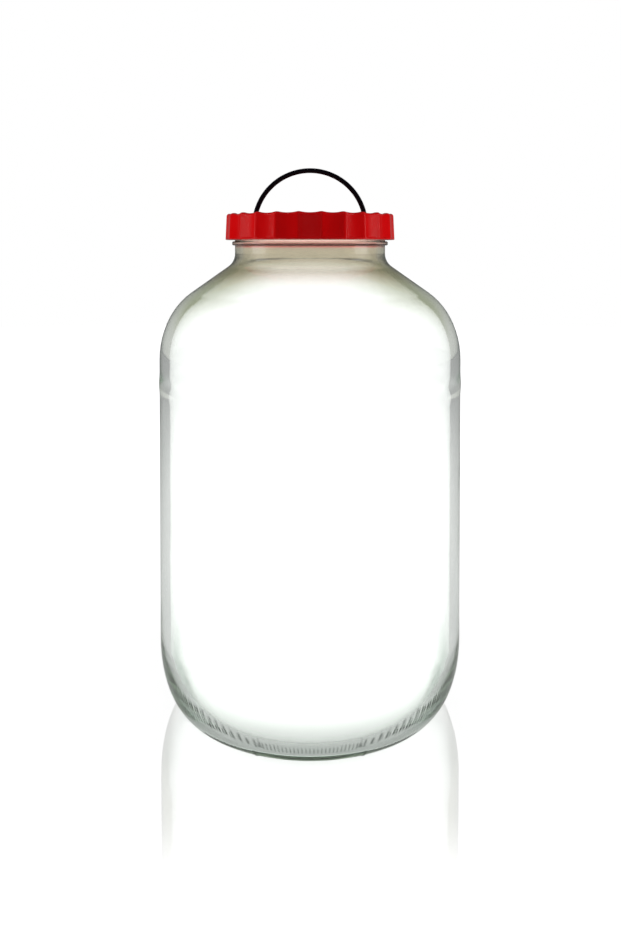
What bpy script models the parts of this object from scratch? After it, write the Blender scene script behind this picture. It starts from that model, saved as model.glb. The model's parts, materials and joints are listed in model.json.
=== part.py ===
"""A nine-litre glass storage jar with a fluted screw lid, a seal liner and a wire bail.

Metres, +Z up. The origin is the centre of the bearing ring that the jar stands on.
"""
import math

import bmesh
import bpy
from mathutils import Vector

# clearance between two pieces that touch on the real jar
SEAT_GAP = 0.0003

# glass body
BODY_RADIUS = 0.1072
BODY_WALL = 0.0070
BODY_SIDES = 64
HEEL_RUN = 0.0222
HEEL_RISE = 0.0485
FOOT_WIDTH = 0.0050
FOOT_STEP_RUN = 0.0022
FOOT_STEP_RISE = 0.0028
PUSH_UP = 0.0070
FLOOR_THICKNESS = 0.0060
INNER_HEEL_RUN = 0.0215
INNER_HEEL_RISE = 0.0430
FLOOR_EDGE = 0.0072
BAND_BOTTOM = 0.2200
BAND_HEIGHT = 0.0170
BAND_SWELL = 0.0004

# glass shoulder, neck and finish
SHOULDER_START = 0.2454
SHOULDER_RUN = 0.0450
SHOULDER_RISE = 0.0542
SHOULDER_TURN = math.radians(59.6)
NECK_RADIUS = 0.0538
NECK_WALL = 0.0055
NECK_FILLET = 0.0111
NECK_STRAIGHT = 0.0059
BEAD_SWELL = 0.0020
BEAD_HEIGHT = 0.0029
FINISH_HEIGHT = 0.0094
RIM_ROUND = 0.0016

# screw lid
THREAD_ROOM = 0.0029
SKIRT_WALL = 0.0021
SKIRT_DRAFT = 0.0007
SKIRT_CLEARANCE = 0.0010
FLUTE_COUNT = 24
FLUTE_COLUMNS = 8
FLUTE_DEPTH = 0.0010
SCALLOP_DROP = 0.0008
PANEL_THICKNESS = 0.0018
RECESS_DEPTH = 0.0065
RECESS_DRAFT = 0.0005
RIM_FLAT = 0.0006
LID_ROUND = 0.0007
LID_SHOULDER = 0.0020
BORE_CORNER = 0.0008

# seal liner
LINER_THICKNESS = 0.0013
LINER_CLEARANCE = 0.0004
LINER_SIDES = 64

# wire bail
WIRE_RADIUS = 0.00175
BAIL_RADIUS = 0.0400
BAIL_PIVOT_RISE = 0.0033
BAIL_CENTRE_DROP = 0.0056
BAIL_BEND = 0.0030
BAIL_FOOT_PROUD = 0.0015
ARC_STEPS = 36
BEND_STEPS = 5

# ears of the lid, which hold the bail's feet
EAR_THICKNESS = 0.0030
EAR_WALL = 0.0014
EAR_BASE_WIDTH = 0.0120
EAR_SINK = 0.0006
EAR_SIDE_GAP = 0.0008
EAR_HOLE_CLEARANCE = 0.0003
EAR_STEPS = 12
HOLE_SIDES = 20
CUT_OVERRUN = 0.0010


def shoulder(radius, run, rise, neck_radius, fillet, arc_steps, fillet_steps):
    """Points (r, z) from the body's top edge up to the lower end of the neck.

    A quarter ellipse turns in from the body until SHOULDER_TURN, a straight stretch follows its
    tangent, and a round fillet turns that into the upright neck.
    """
    points = []
    for i in range(arc_steps + 1):
        turn = SHOULDER_TURN * i / arc_steps
        points.append((radius - run + run * math.cos(turn), SHOULDER_START + rise * math.sin(turn)))
    lean = math.atan2(math.sin(SHOULDER_TURN) / rise, math.cos(SHOULDER_TURN) / run)
    end_r, end_z = points[-1]
    straight = (end_r - neck_radius - fillet * (1 - math.cos(lean))) / math.sin(lean)
    neck_z = end_z + straight * math.cos(lean) + fillet * math.sin(lean)
    for i in range(fillet_steps + 1):
        turn = lean * (1 - i / fillet_steps)
        points.append((neck_radius + fillet * (1 - math.cos(turn)), neck_z - fillet * math.sin(turn)))
    return points


def quarter(centre_r, centre_z, run, rise, start, end, steps):
    """Points of an ellipse about a centre, from one angle in degrees to another."""
    points = []
    for i in range(steps + 1):
        turn = math.radians(start + (end - start) * i / steps)
        points.append((centre_r + run * math.cos(turn), centre_z + rise * math.sin(turn)))
    return points


def dome(edge_radius, edge_z, centre_z, steps):
    """Points of a shallow parabola from its edge to the axis."""
    points = []
    for i in range(steps + 1):
        share = 1 - i / steps
        points.append((edge_radius * share, centre_z + (edge_z - centre_z) * share ** 2))
    return points


# heights that follow from the sizes above, from the neck up to the bail
NECK_Z = shoulder(BODY_RADIUS, SHOULDER_RUN, SHOULDER_RISE, NECK_RADIUS, NECK_FILLET, 1, 1)[-1][1]
BEAD_Z = NECK_Z + NECK_STRAIGHT
FINISH_Z = BEAD_Z + BEAD_HEIGHT
GLASS_TOP = FINISH_Z + FINISH_HEIGHT
LINER_Z = GLASS_TOP + SEAT_GAP
PANEL_UNDERSIDE = LINER_Z + LINER_THICKNESS + SEAT_GAP
PANEL_TOP = PANEL_UNDERSIDE + PANEL_THICKNESS
LID_TOP = PANEL_TOP + RECESS_DEPTH
SKIRT_BOTTOM = FINISH_Z + SKIRT_CLEARANCE
PIVOT_Z = PANEL_TOP + BAIL_PIVOT_RISE

# radii of the lid, from the glass outwards
LID_BORE = NECK_RADIUS + THREAD_ROOM
RIDGE_TOP = LID_BORE + SKIRT_WALL + FLUTE_DEPTH
RIDGE_BOTTOM = RIDGE_TOP + SKIRT_DRAFT
RIM_INNER = RIDGE_TOP - FLUTE_DEPTH - LID_SHOULDER - RIM_FLAT - LID_ROUND
RECESS_RADIUS = RIM_INNER - RECESS_DRAFT

# where the bail's wire bends out to its feet, and the ears that stand beside it
BEND_X = math.sqrt((BAIL_RADIUS + BAIL_BEND) ** 2 - (BAIL_CENTRE_DROP + BAIL_BEND) ** 2)
EAR_X = BEND_X + EAR_SIDE_GAP
FOOT_END_X = EAR_X + EAR_THICKNESS + BAIL_FOOT_PROUD


def clear_scene():
    """Remove whatever the file holds."""
    for thing in list(bpy.data.objects):
        bpy.data.objects.remove(thing, do_unlink=True)


def finish_material(name, colour, roughness, metallic=0.0, transmission=0.0, ior=1.5):
    """A plain Principled material."""
    material = bpy.data.materials.new(name)
    material.use_nodes = True
    shader = material.node_tree.nodes["Principled BSDF"]
    shader.inputs["Base Color"].default_value = (*colour, 1.0)
    shader.inputs["Roughness"].default_value = roughness
    shader.inputs["Metallic"].default_value = metallic
    shader.inputs["Transmission Weight"].default_value = transmission
    shader.inputs["IOR"].default_value = ior
    return material


def add_object(name, data, material, location=(0, 0, 0), parent=None):
    """Link an object, give it its material and place it under its parent."""
    thing = bpy.data.objects.new(name, data)
    bpy.context.collection.objects.link(thing)
    if material:
        data.materials.append(material)
    thing.parent = parent
    thing.location = location
    return thing


def mesh_from(name, bm, smooth_degrees=40):
    """Turn a closed bmesh into a smooth-shaded mesh with its faces pointing out."""
    bmesh.ops.recalc_face_normals(bm, faces=bm.faces)
    mesh = bpy.data.meshes.new(name)
    bm.to_mesh(mesh)
    bm.free()
    mesh.shade_smooth()
    mesh.set_sharp_from_angle(angle=math.radians(smooth_degrees))
    return mesh


def turned(name, profile, sides):
    """Spin a profile of (r, z) points about the Z axis. Its two ends lie on the axis."""
    bm = bmesh.new()
    verts = [bm.verts.new((r, 0, z)) for r, z in profile]
    edges = [bm.edges.new(pair) for pair in zip(verts, verts[1:])]
    bmesh.ops.spin(bm, geom=verts + edges, cent=(0, 0, 0), axis=(0, 0, 1), angle=math.tau, steps=sides,
                   use_merge=True)
    bmesh.ops.remove_doubles(bm, verts=bm.verts, dist=SEAT_GAP / 100)
    return mesh_from(name, bm)


def jar_outside():
    """Outer profile of the glass, from the rim's crest down to the middle of the base."""
    upward = shoulder(BODY_RADIUS, SHOULDER_RUN, SHOULDER_RISE, NECK_RADIUS, NECK_FILLET, 8, 5)
    bead_r = NECK_RADIUS + BEAD_SWELL
    bead_round = BEAD_SWELL / 2
    foot_r = BODY_RADIUS - HEEL_RUN
    band_r = BODY_RADIUS + BAND_SWELL
    band_fade = BAND_HEIGHT / 4
    profile = quarter(NECK_RADIUS - RIM_ROUND, GLASS_TOP - RIM_ROUND, RIM_ROUND, RIM_ROUND, 90, 0, 3)
    profile += [
        (NECK_RADIUS, FINISH_Z),
        (bead_r - bead_round, FINISH_Z),
        (bead_r, FINISH_Z - bead_round),
        (bead_r, BEAD_Z + bead_round),
        (bead_r - bead_round, BEAD_Z),
        (NECK_RADIUS, BEAD_Z - bead_round),
    ]
    profile += upward[::-1]
    profile += [
        (BODY_RADIUS, BAND_BOTTOM + BAND_HEIGHT),
        (band_r, BAND_BOTTOM + BAND_HEIGHT - band_fade),
        (band_r, BAND_BOTTOM + band_fade),
        (BODY_RADIUS, BAND_BOTTOM),
    ]
    profile += quarter(foot_r, HEEL_RISE, HEEL_RUN, HEEL_RISE, 0, -90, 8)
    profile.append((foot_r - FOOT_WIDTH, 0))
    step_r = foot_r - FOOT_WIDTH - FOOT_STEP_RUN
    profile += dome(step_r, FOOT_STEP_RISE, PUSH_UP, 3)
    return profile


def jar_inside():
    """Inner profile of the glass, from the middle of the floor up to the rim's crest."""
    inner_r = BODY_RADIUS - BODY_WALL
    bore_r = NECK_RADIUS - NECK_WALL
    heel_r = inner_r - INNER_HEEL_RUN
    upward = shoulder(inner_r, SHOULDER_RUN - BODY_WALL, SHOULDER_RISE - BODY_WALL, bore_r,
                      NECK_FILLET + NECK_WALL, 6, 4)
    profile = dome(heel_r, FLOOR_EDGE, PUSH_UP + FLOOR_THICKNESS, 3)[::-1]
    profile += quarter(heel_r, FLOOR_EDGE + INNER_HEEL_RISE, INNER_HEEL_RUN, INNER_HEEL_RISE, -90, 0, 6)[1:]
    profile += upward
    profile += quarter(bore_r + RIM_ROUND, GLASS_TOP - RIM_ROUND, RIM_ROUND, RIM_ROUND, 180, 90, 3)
    return profile


def make_jar(material):
    """The glass: outside and inside are one closed profile, turned about the axis."""
    profile = jar_inside() + jar_outside()
    return add_object("glass_jar", turned("glass_jar", profile, BODY_SIDES), material)


def flute_wave(column):
    """0 on a ridge and 1 in the middle of a flute: one minus the square of the way to the ridge."""
    share = 2 * (column % FLUTE_COLUMNS) / FLUTE_COLUMNS - 1
    return 1 - share ** 2


def lid_rows():
    """Rings of the lid from the panel's edge over the rim, down the skirt and up the bore.

    Each row is (radius, height, how much of the flutes it carries, how much of the scallops).
    """
    outer_round = quarter(RIDGE_TOP - LID_SHOULDER, LID_TOP - LID_SHOULDER, LID_SHOULDER, LID_SHOULDER,
                          90, 0, 2)
    rows = [
        (RECESS_RADIUS - LID_ROUND, PANEL_TOP, 0, 0),
        (RECESS_RADIUS, PANEL_TOP + LID_ROUND, 0, 0),
        (RIM_INNER, LID_TOP - LID_ROUND, 0, 1),
        (RIM_INNER + LID_ROUND, LID_TOP, 0, 1),
    ]
    rows += [(radius, height, 1, 1) for radius, height in outer_round]
    rows += [
        (RIDGE_BOTTOM, SKIRT_BOTTOM + LID_ROUND, 1, 0),
        (RIDGE_BOTTOM - LID_ROUND, SKIRT_BOTTOM, 1, 0),
        (LID_BORE + LID_ROUND, SKIRT_BOTTOM, 0, 0),
        (LID_BORE, SKIRT_BOTTOM + LID_ROUND, 0, 0),
        (LID_BORE, PANEL_UNDERSIDE - BORE_CORNER, 0, 0),
        (LID_BORE - BORE_CORNER, PANEL_UNDERSIDE, 0, 0),
    ]
    return rows


def lid_shell():
    """The fluted cap as rings bridged one to the next, with the panel's two faces closing it.

    A ridge lies half a flute to each side of the front, so that a flute faces forward.
    """
    bm = bmesh.new()
    columns = FLUTE_COUNT * FLUTE_COLUMNS
    rings = []
    for radius, height, flute, scallop in lid_rows():
        ring = []
        for column in range(columns):
            turn = math.tau * (column - FLUTE_COLUMNS / 2) / columns
            wave = flute_wave(column)
            r = radius - flute * FLUTE_DEPTH * wave
            z = height - PANEL_UNDERSIDE - scallop * SCALLOP_DROP * wave
            ring.append(bm.verts.new((r * math.cos(turn), r * math.sin(turn), z)))
        rings.append(ring)
    for low, high in zip(rings, rings[1:]):
        for i in range(columns):
            j = (i + 1) % columns
            bm.faces.new((low[i], low[j], high[j], high[i]))
    bm.faces.new(rings[0])
    bm.faces.new(rings[-1])
    return mesh_from("screw_lid", bm)


def ear_plate(side):
    """An upright plate: a wide base, straight flanks and a round head about the bail's pivot."""
    head = WIRE_RADIUS + EAR_HOLE_CLEARANCE + EAR_WALL
    pivot = PIVOT_Z - PANEL_UNDERSIDE
    base = PANEL_THICKNESS - EAR_SINK
    outline = [(EAR_BASE_WIDTH / 2, base)]
    outline += quarter(0, pivot, head, head, 20, 160, EAR_STEPS)
    outline.append((-EAR_BASE_WIDTH / 2, base))
    bm = bmesh.new()
    face = bm.faces.new([bm.verts.new((side * EAR_X, y, z)) for y, z in outline])
    grown = bmesh.ops.extrude_face_region(bm, geom=[face])
    moved = [item for item in grown["geom"] if isinstance(item, bmesh.types.BMVert)]
    bmesh.ops.translate(bm, vec=(side * EAR_THICKNESS, 0, 0), verts=moved)
    return mesh_from("ear", bm)


def ear_drill():
    """One long round bar along the pivot axis, which bores both ears in line."""
    bm = bmesh.new()
    radius = WIRE_RADIUS + EAR_HOLE_CLEARANCE
    length = 2 * (EAR_X + EAR_THICKNESS + CUT_OVERRUN)
    bmesh.ops.create_cone(bm, cap_ends=True, segments=HOLE_SIDES, radius1=radius, radius2=radius,
                          depth=length)
    bm.transform(Vector((0, 0, 1)).rotation_difference(Vector((1, 0, 0))).to_matrix().to_4x4())
    bmesh.ops.translate(bm, vec=(0, 0, PIVOT_Z - PANEL_UNDERSIDE), verts=bm.verts)
    return mesh_from("ear_drill", bm)


def guide(thing):
    """Mark a cutter or a joined shape as one that isn't a piece itself."""
    thing.hide_render = True
    thing.display_type = "WIRE"
    return thing


def join_or_cut(target, tool, operation):
    """A live Boolean on the target."""
    modifier = target.modifiers.new(operation.lower(), "BOOLEAN")
    modifier.operation = operation
    modifier.solver = "EXACT"
    modifier.object = tool


def make_lid(material):
    """The fluted cap with its two ears joined on and bored. Its origin is on the screw axis."""
    lid = add_object("screw_lid", lid_shell(), material, location=(0, 0, PANEL_UNDERSIDE))
    for side in (-1, 1):
        ear = guide(add_object("ear_guide", ear_plate(side), None, parent=lid))
        join_or_cut(lid, ear, "UNION")
    drill = guide(add_object("drill_guide", ear_drill(), None, parent=lid))
    join_or_cut(lid, drill, "DIFFERENCE")
    return lid


def make_liner(material):
    """A plain disc that lies on the glass rim under the lid's panel."""
    radius = LID_BORE - BORE_CORNER - LINER_CLEARANCE
    profile = [(0, LINER_THICKNESS), (radius, LINER_THICKNESS), (radius, 0), (0, 0)]
    mesh = turned("lid_liner", profile, LINER_SIDES)
    return add_object("lid_liner", mesh, material, location=(0, 0, LINER_Z))


def bail_path():
    """The wire's centre line: foot, bend, round arc, bend and foot, about the pivot axis."""
    centre_z = -BAIL_CENTRE_DROP
    lean = math.atan2(BAIL_CENTRE_DROP + BAIL_BEND, BEND_X)
    right = [Vector((FOOT_END_X, 0, 0))]
    for i in range(BEND_STEPS + 1):
        turn = math.radians(270) - (math.radians(90) - lean) * i / BEND_STEPS
        x = BEND_X + BAIL_BEND * math.cos(turn)
        right.append(Vector((x, 0, BAIL_BEND + BAIL_BEND * math.sin(turn))))
    arc = []
    for i in range(1, ARC_STEPS):
        turn = lean + (math.pi - 2 * lean) * i / ARC_STEPS
        arc.append(Vector((BAIL_RADIUS * math.cos(turn), 0, centre_z + BAIL_RADIUS * math.sin(turn))))
    left = [Vector((-point.x, 0, point.z)) for point in reversed(right)]
    return right + arc + left


def make_bail(material, lid):
    """Round wire along the path, with closed ends. Its origin is on the pivot axis."""
    curve = bpy.data.curves.new("bail_handle", "CURVE")
    curve.dimensions = "3D"
    curve.bevel_depth = WIRE_RADIUS
    curve.bevel_resolution = 3
    curve.use_fill_caps = True
    path = bail_path()
    spline = curve.splines.new("POLY")
    spline.points.add(len(path) - 1)
    for point, place in zip(spline.points, path):
        point.co = (*place, 1)
    return add_object("bail_handle", curve, material, location=(0, 0, PIVOT_Z - PANEL_UNDERSIDE), parent=lid)


def main():
    """Build the whole jar."""
    clear_scene()
    glass = finish_material("pale_green_glass", (0.88, 0.95, 0.90), 0.02, transmission=1.0, ior=1.52)
    red = finish_material("red_plastic", (0.52, 0.006, 0.006), 0.28)
    white = finish_material("white_foam", (0.82, 0.81, 0.77), 0.7)
    black = finish_material("black_coated_wire", (0.006, 0.005, 0.008), 0.35)
    make_jar(glass)
    lid = make_lid(red)
    make_liner(white)
    make_bail(black, lid)


main()
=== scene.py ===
"""The looks of a tall glass storage jar with a fluted red screw lid and a black wire bail.

Every surface is a grid of points worked out with numpy: u runs along a profile or a wire, and v runs
round it. Metres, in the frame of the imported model: +Z up, the front is -Y.
"""

import json
import math

import bpy
import numpy as np
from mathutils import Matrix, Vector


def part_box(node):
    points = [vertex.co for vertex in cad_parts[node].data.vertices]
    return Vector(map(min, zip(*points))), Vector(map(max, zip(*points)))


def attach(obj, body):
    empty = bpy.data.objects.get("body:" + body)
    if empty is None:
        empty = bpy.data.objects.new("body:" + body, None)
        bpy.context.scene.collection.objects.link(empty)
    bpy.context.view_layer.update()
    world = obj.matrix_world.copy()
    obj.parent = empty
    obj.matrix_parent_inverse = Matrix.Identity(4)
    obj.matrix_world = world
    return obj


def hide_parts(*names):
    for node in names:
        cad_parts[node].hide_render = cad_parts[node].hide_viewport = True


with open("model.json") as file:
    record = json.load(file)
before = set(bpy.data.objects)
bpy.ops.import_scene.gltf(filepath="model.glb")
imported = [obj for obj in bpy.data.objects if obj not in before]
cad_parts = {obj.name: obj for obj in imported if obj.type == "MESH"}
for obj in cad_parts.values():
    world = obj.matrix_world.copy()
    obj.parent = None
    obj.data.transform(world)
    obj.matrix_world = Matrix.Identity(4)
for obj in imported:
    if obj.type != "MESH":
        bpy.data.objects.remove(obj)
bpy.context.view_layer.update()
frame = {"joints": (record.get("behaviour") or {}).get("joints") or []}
MM = 0.001

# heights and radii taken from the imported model
GLASS_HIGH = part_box("glass_jar")[1]
LINER_LOW, LINER_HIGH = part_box("lid_liner")
LID_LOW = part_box("screw_lid")[0]
BAND_RADIUS = GLASS_HIGH.x
GLASS_TOP = GLASS_HIGH.z
PIVOT = next(j["pos_m"] for j in frame["joints"] if j["name"] == "bail_fold")

# glass jar
BAND_SWELL = 0.4 * MM
BODY_RADIUS = BAND_RADIUS - BAND_SWELL
BODY_WALL = 7.0 * MM
HEEL_RUN, HEEL_RISE = 22.2 * MM, 48.5 * MM
FOOT_WIDTH = 5.0 * MM
FOOT_RADIUS = BODY_RADIUS - HEEL_RUN
PUSH_UP = 7.0 * MM
FLOOR_THICKNESS = 6.0 * MM
DOME_SHARE = 0.7
INNER_HEEL_RUN, INNER_HEEL_RISE = 21.5 * MM, 43.0 * MM
FLOOR_EDGE = 7.2 * MM
BAND_BOTTOM, BAND_HEIGHT = 220.0 * MM, 17.0 * MM
SHOULDER_START = 245.4 * MM
SHOULDER_RUN, SHOULDER_RISE = 45.0 * MM, 54.2 * MM
SHOULDER_TURN = 59.6
NECK_RADIUS, NECK_WALL = 53.8 * MM, 5.5 * MM
NECK_FILLET = 11.1 * MM
BEAD_SWELL, BEAD_HEIGHT = 2.0 * MM, 2.9 * MM
BEAD_HOLLOW, HOLLOW_DROP = 0.8 * MM, 0.32 * MM
FINISH_HEIGHT, FINISH_FILLET = 9.4 * MM, 0.5 * MM
FINISH = GLASS_TOP - FINISH_HEIGHT
RIM_ROUND = 1.6 * MM

# screw thread, two starts; turns in degrees
THREAD_LEAD = 12.0 * MM
THREAD_STARTS = 2
THREAD_TURN = 190.0
THREAD_FADE = 18.0
THREAD_HALF_WIDTH, THREAD_FULLNESS = 1.25 * MM, 0.9
THREAD_BOTTOM, THREAD_CLEAR = FINISH + 1.6 * MM, 0.6 * MM
GLASS_THREAD_HEIGHT, LID_THREAD_HEIGHT = 1.5 * MM, 2.2 * MM
THREAD_SLACK = 0.35 * MM

# knurl under the heel: between two sines of the turn its band climbs and narrows towards the sides
KNURL_BARS = 216
JAR_COLUMNS = 3 * KNURL_BARS
KNURL_RADIUS, KNURL_HALF_WIDTH = 87.0 * MM, 5.5 * MM
KNURL_CLIMB, KNURL_NARROWING, CLIMB_FROM_TO = 15.0 * MM, 0.5, (0.15, 0.90)
KNURL_TOP = 23.0 * MM
KNURL_HEIGHT = 0.45 * MM
# painted shade between the knurl's bars: widths as shares of a bar, and sines of the turn where they change
FINE_WIDTH, COARSE_WIDTH = 0.75, 0.65
FINE_STRENGTH = 0.9
COARSE_FROM_TO, SHADE_FADE_FROM_TO = (0.30, 0.45), (0.84, 0.93)
# nibs where the mould's seams end under the heel; turns in degrees from the front
NIB_TURNS = (-21.6, 21.6, 158.4, 201.6)
NIB_HALF_WIDTH, NIB_HEIGHT, NIB_TOP = 3.6 * MM, 0.9 * MM, 9.0 * MM
NIB_REACH, NIB_TAPER, NIB_RISE = 9.0 * MM, 0.85, 2.0 * MM
NIB_STEEPNESS = 1.4

# screw lid
FLUTES = 24
FLUTE_STEPS = 24
FLUTE_DEPTH = 1.0 * MM
FLUTE_FADE = 0.8 * MM
RIDGE_SHARE = 0.86
SCALLOP_DROP = 0.8 * MM
LID_BORE = 56.7 * MM
RIDGE_TOP, RIDGE_BOTTOM = 59.8 * MM, 60.5 * MM
LIP_HEIGHT = 0.7 * MM
LID_ROUND = 0.7 * MM
LID_SHOULDER = 2.0 * MM
RECESS_RADIUS, RECESS_DRAFT, RECESS_DEPTH = 55.0 * MM, 0.5 * MM, 6.5 * MM
RECESS_FILLET = 1.4 * MM
LINER_GAP, PANEL_THICKNESS = 0.3 * MM, 1.8 * MM
PANEL_UNDER = LINER_HIGH.z + LINER_GAP
PANEL_TOP = PANEL_UNDER + PANEL_THICKNESS
PANEL_STEP, PANEL_FILLET = 0.3 * MM, 0.8 * MM
BOSS_RADIUS, BOSS_SLOPE = 1.5 * MM, 0.4 * MM
DISC_RADIUS, DISC_SLOPE = 30.0 * MM, 0.6 * MM

# seal liner
LINER_SIDES = 128
LINER_ROUND = 0.4 * MM

# wire bail and its ears
WIRE_RADIUS = 1.75 * MM
WIRE_SIDES = 28
WIRE_END_ROUND = 0.5 * MM
BAIL_RADIUS = 40.0 * MM
BAIL_DROP = 5.6 * MM
BAIL_BEND = 3.0 * MM
BEND_X = math.sqrt((BAIL_RADIUS + BAIL_BEND) ** 2 - (BAIL_DROP + BAIL_BEND) ** 2)
EAR_NEAR, EAR_THICKNESS = BEND_X + 0.8 * MM, 3.0 * MM
FOOT_END = EAR_NEAR + EAR_THICKNESS + 1.5 * MM
EAR_HEAD, EAR_HOLE = 3.45 * MM, 2.05 * MM
EAR_HALF_BASE = 6.0 * MM
EAR_SINK = 0.6 * MM
EAR_SIDES = 96
EAR_ROUND = 0.35 * MM
EAR_FLARE, EAR_FLARE_HEIGHT = 0.7 * MM, 0.5 * MM

# camera, from the photograph's frame in pixels
PHOTO_WIDTH, PHOTO_HEIGHT = 621, 931
SENSOR_WIDTH = 36.0
FOCAL_PIXELS = 900.0
CAMERA_AT = (0.0, -0.648, 0.3247)
CAMERA_PITCH = 1.5
CENTRE_ROW, CENTRE_COLUMN = 270.57, 310.0


def line(start, end, count, hold=0.0):
    """Points from start to end; with a hold, one more point lies that far from each end."""
    shares = np.linspace(0, 1, count)
    if hold:
        length = math.dist(start, end)
        shares = np.sort(np.append(shares, [hold / length, 1 - hold / length]))
    return np.outer(1 - shares, start) + np.outer(shares, end)


def arc(centre, radii, start, end, count):
    """Points of an ellipse: centre plus (a cos t, b sin t), with t going from start to end in degrees."""
    t = np.radians(np.linspace(start, end, count))
    return np.column_stack([centre[0] + radii[0] * np.cos(t), centre[1] + radii[1] * np.sin(t)])


def round_arc(centre, radius, start, end, count):
    """Points of a circle, with the turn going from start to end in degrees."""
    return arc(centre, (radius, radius), start, end, count)


def around(count):
    """Even steps of a full turn, in radians."""
    return np.arange(count) * 2 * np.pi / count


def joined(*stretches):
    """The stretches as one outline, with a point that two of them share kept once."""
    points = np.concatenate(stretches)
    return points[apart(points)]


def apart(points):
    """Which points lie away from the one before them."""
    return np.append(True, np.linalg.norm(np.diff(points, axis=0), axis=1) > 1e-7)


def smooth(value, low, high):
    """0 below low, 1 above high, and 3t^2 - 2t^3 between."""
    t = np.clip((value - low) / (high - low), 0, 1)
    return t * t * (3 - 2 * t)


def raised(angle):
    """A raised cosine: 0 at no turn and 1 at half a turn."""
    return 0.5 - 0.5 * np.cos(angle)


def skin(name, grid, poles=True, marks=None):
    """A closed mesh over a grid of points (rows, columns, 3), each row joined to itself.

    With poles the first and last rows are drawn together into one point each. Without them the last
    row is joined to the first, as on a ring. A row that goes down with columns that turn left faces out.
    Marks, one number a point of a grid with poles, become the mesh's attribute of that name.
    """
    rows, columns = grid.shape[:2]
    ring = np.arange(columns)
    after = np.roll(ring, -1)
    if poles:
        points = np.concatenate([grid[:1, :1], grid[1:-1].reshape(-1, 1, 3), grid[-1:, :1]]).reshape(-1, 3)
        points[0], points[-1] = grid[0].mean(axis=0), grid[-1].mean(axis=0)
        first = 1 + columns * np.arange(rows - 3)[:, None]
        below = first + columns
        last, end = 1 + columns * (rows - 3), len(points) - 1
        caps = np.concatenate([
            np.column_stack([np.zeros(columns, int), 1 + ring, 1 + after]),
            np.column_stack([last + ring, np.full(columns, end), last + after]),
        ])
    else:
        points = grid.reshape(-1, 3)
        first = columns * np.arange(rows)[:, None]
        below = np.roll(first, -1, axis=0)
        caps = np.empty((0, 3), int)
    quads = np.stack([first + ring, below + ring, below + after, first + after], axis=-1).reshape(-1, 4)
    mesh = bpy.data.meshes.new(name)
    mesh.vertices.add(len(points))
    mesh.vertices.foreach_set("co", points.astype(np.float32).ravel())
    corners = np.concatenate([caps.ravel(), quads.ravel()]).astype(np.int32)
    starts = np.concatenate([3 * np.arange(len(caps)), 3 * len(caps) + 4 * np.arange(len(quads))])
    mesh.loops.add(len(corners))
    mesh.loops.foreach_set("vertex_index", corners)
    mesh.polygons.add(len(starts))
    mesh.polygons.foreach_set("loop_start", starts.astype(np.int32))
    mesh.update(calc_edges=True)
    mesh.validate()
    for key, mark in (marks or {}).items():
        values = np.concatenate([mark[0, :1], mark[1:-1].ravel(), mark[-1, :1]])
        mesh.attributes.new(key, "FLOAT", "POINT").data.foreach_set("value", values.astype(np.float32))
    mesh.shade_smooth()
    return mesh


def piece(name, mesh, finish, body, node):
    """Show a mesh as a piece that rides on a body, stands for a node and wears a finish."""
    thing = bpy.data.objects.new(name, mesh)
    bpy.context.scene.collection.objects.link(thing)
    mesh.materials.append(finish)
    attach(thing, body)
    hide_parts(node)


def turned(radius, height, angles):
    """Points (r cos a, r sin a, z) of radii and heights given for every row and angle."""
    radius, height, angles = np.broadcast_arrays(radius, height, angles)
    return np.stack([radius * np.cos(angles), radius * np.sin(angles), height], axis=-1)


def helix(height, angles, bottom, high):
    """How far a screw thread stands out, from 0 to high.

    Each start climbs one lead a turn. Its section is a raised cosine about its middle line with the
    top cut flat, and it fades in and out at the ends of its turn.
    """
    lift = np.zeros(np.broadcast_shapes(height.shape, angles.shape))
    for start in range(THREAD_STARTS):
        turn = np.mod(np.degrees(angles) - 360 * start / THREAD_STARTS, 360)
        middle = bottom + THREAD_LEAD * turn / 360
        off = np.clip(np.abs(height - middle) / THREAD_HALF_WIDTH, 0, 1)
        section = np.clip(THREAD_FULLNESS * (1 + np.cos(np.pi * off)), 0, 1)
        fade = smooth(turn, 0, THREAD_FADE) * (1 - smooth(turn, THREAD_TURN - THREAD_FADE, THREAD_TURN))
        lift = np.maximum(lift, high * section * fade)
    return lift


def shoulder(radius, run, rise, neck_radius, fillet, arc_count, fillet_count):
    """From the body up to the neck: an ellipse, its tangent, and a round fillet into the neck."""
    end = math.radians(SHOULDER_TURN)
    curve = arc((radius - run, SHOULDER_START), (run, rise), 0, SHOULDER_TURN, arc_count)
    lean = math.atan2(math.sin(end) / rise, math.cos(end) / run)
    straight = (curve[-1, 0] - neck_radius - fillet * (1 - math.cos(lean))) / math.sin(lean)
    neck_z = curve[-1, 1] + straight * math.cos(lean) + fillet * math.sin(lean)
    bend = round_arc((neck_radius + fillet, neck_z), fillet, 180 + math.degrees(lean), 180, fillet_count)
    return joined(curve, line(curve[-1], bend[0], 4), bend)


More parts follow.
